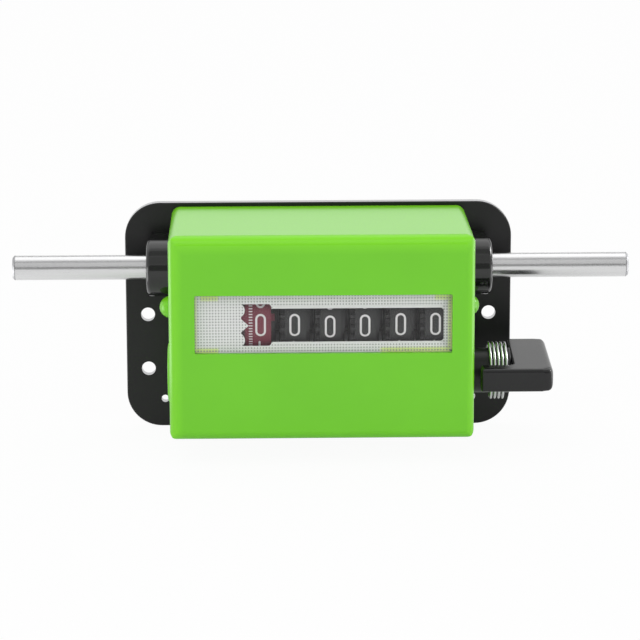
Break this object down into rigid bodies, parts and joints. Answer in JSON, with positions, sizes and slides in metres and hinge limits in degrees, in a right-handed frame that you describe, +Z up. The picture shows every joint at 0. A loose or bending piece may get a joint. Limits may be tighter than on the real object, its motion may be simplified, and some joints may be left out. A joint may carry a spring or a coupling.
{
  "type": "fabric measuring meter",
  "caption": "Mechanical length counter with a through shaft, a row of number wheels behind a window in a box cover, a base plate to screw down and a sprung reset lever.",
  "frame": {"origin": "middle of the base plate's back face", "axes": "+X along the main shaft towards the reset lever's side, -Y out of the plate towards the reader, +Z up across the number wheels, as the picture shows it"},
  "size_m": [0.2, 0.0553, 0.0752],
  "materials": {
    "black_enamel": "satin black enamel on a casting",
    "green_plastic": "glossy moulded green",
    "clear_plastic": "clear moulded pane",
    "pale_mask": "pale grained mask",
    "black_plastic": "satin black moulding",
    "black_wheel": "matt black wheel with white figures",
    "red_wheel": "matt dark red wheel with white figures and marks",
    "white_acetal": "natural acetal",
    "black_acetal": "black acetal",
    "bright_shaft": "ground steel",
    "axle_steel": "drawn steel",
    "zinc_steel": "zinc plated steel",
    "spring_wire": "bright spring wire",
    "dark_steel": "blackened steel",
    "bronze": "sintered bronze"
  },
  "bodies": {
    "casing": {"base_plate": "black_enamel", "bush_left": "bronze", "bush_right": "bronze", "side_plate_left": "zinc_steel", "side_plate_right": "zinc_steel", "side_plate_screws": "zinc_steel", "cover": "green_plastic", "cover_screws": "zinc_steel", "window_pane": "clear_plastic", "window_mask": "pale_mask", "transfer_shaft": "axle_steel", "wheel_axle": "axle_steel", "axle_spacer": "bronze", "axle_clips": "dark_steel", "reset_spring": "spring_wire"},
    "main_shaft": {"main_shaft": "bright_shaft", "drive_gear": "white_acetal", "drive_gear_screw": "dark_steel", "shaft_collar": "axle_steel", "collar_screw": "dark_steel"},
    "idler": {"idler_gear": "white_acetal"},
    "tenths": {"tenths_wheel": "red_wheel", "tenths_cam": "black_acetal"},
    "units": {"units_wheel": "black_wheel", "units_cam": "black_acetal"},
    "tens": {"tens_wheel": "black_wheel", "tens_cam": "black_acetal"},
    "hundreds": {"hundreds_wheel": "black_wheel", "hundreds_cam": "black_acetal"},
    "thousands": {"thousands_wheel": "black_wheel", "thousands_cam": "black_acetal"},
    "ten_thousands": {"ten_thousands_wheel": "black_wheel", "ten_thousands_cam": "black_acetal"},
    "units_pinion": {"units_carry_pinion": "black_acetal"},
    "tens_pinion": {"tens_carry_pinion": "black_acetal"},
    "hundreds_pinion": {"hundreds_carry_pinion": "black_acetal"},
    "thousands_pinion": {"thousands_carry_pinion": "black_acetal"},
    "ten_thousands_pinion": {"ten_thousands_carry_pinion": "black_acetal"},
    "reset": {"reset_shaft": "axle_steel", "reset_comb": "zinc_steel", "comb_pins": "dark_steel", "reset_lever": "black_plastic", "lever_screw": "dark_steel", "reset_shaft_clip": "dark_steel"}
  },
  "joints": [
    {"name": "main_shaft_spin", "type": "hinge", "parent": "casing", "child": "main_shaft", "pos_m": [0, -0.014, 0.0184], "axis": [1, 0, 0], "continuous": true},
    {"name": "idler_spin", "type": "hinge", "parent": "casing", "child": "idler", "pos_m": [0, -0.02081, 0.00663], "axis": [1, 0, 0], "continuous": true},
    {"name": "tenths_wheel_spin", "type": "hinge", "parent": "casing", "child": "tenths", "pos_m": [0, -0.0376, 0.0072], "axis": [1, 0, 0], "continuous": true},
    {"name": "units_wheel_spin", "type": "hinge", "parent": "casing", "child": "units", "pos_m": [0, -0.0376, 0.0072], "axis": [1, 0, 0], "continuous": true},
    {"name": "units_pinion_spin", "type": "hinge", "parent": "casing", "child": "units_pinion", "pos_m": [0, -0.02081, 0.00663], "axis": [1, 0, 0], "continuous": true},
    {"name": "tens_wheel_spin", "type": "hinge", "parent": "casing", "child": "tens", "pos_m": [0, -0.0376, 0.0072], "axis": [1, 0, 0], "continuous": true},
    {"name": "tens_pinion_spin", "type": "hinge", "parent": "casing", "child": "tens_pinion", "pos_m": [0, -0.02081, 0.00663], "axis": [1, 0, 0], "continuous": true},
    {"name": "hundreds_wheel_spin", "type": "hinge", "parent": "casing", "child": "hundreds", "pos_m": [0, -0.0376, 0.0072], "axis": [1, 0, 0], "continuous": true},
    {"name": "hundreds_pinion_spin", "type": "hinge", "parent": "casing", "child": "hundreds_pinion", "pos_m": [0, -0.02081, 0.00663], "axis": [1, 0, 0], "continuous": true},
    {"name": "thousands_wheel_spin", "type": "hinge", "parent": "casing", "child": "thousands", "pos_m": [0, -0.0376, 0.0072], "axis": [1, 0, 0], "continuous": true},
    {"name": "thousands_pinion_spin", "type": "hinge", "parent": "casing", "child": "thousands_pinion", "pos_m": [0, -0.02081, 0.00663], "axis": [1, 0, 0], "continuous": true},
    {"name": "ten_thousands_wheel_spin", "type": "hinge", "parent": "casing", "child": "ten_thousands", "pos_m": [0, -0.0376, 0.0072], "axis": [1, 0, 0], "continuous": true},
    {"name": "ten_thousands_pinion_spin", "type": "hinge", "parent": "casing", "child": "ten_thousands_pinion", "pos_m": [0, -0.02081, 0.00663], "axis": [1, 0, 0], "continuous": true},
    {"name": "reset_lever_turn", "type": "hinge", "parent": "casing", "child": "reset", "pos_m": [0, -0.033, -0.0122], "axis": [1, 0, 0], "range_deg": [0, 25], "stiffness_Nm_per_rad": 0.03, "springref_deg": -34.38, "deforming": ["reset_spring"]}
  ],
  "couplings": [
    {"joint": "idler_spin", "follows": "main_shaft_spin", "ratio": -1},
    {"joint": "tenths_wheel_spin", "follows": "main_shaft_spin", "ratio": 0.33333},
    {"joint": "units_pinion_spin", "follows": "units_wheel_spin", "ratio": -2.5},
    {"joint": "tens_pinion_spin", "follows": "tens_wheel_spin", "ratio": -2.5},
    {"joint": "hundreds_pinion_spin", "follows": "hundreds_wheel_spin", "ratio": -2.5},
    {"joint": "thousands_pinion_spin", "follows": "thousands_wheel_spin", "ratio": -2.5},
    {"joint": "ten_thousands_pinion_spin", "follows": "ten_thousands_wheel_spin", "ratio": -2.5}
  ]
}
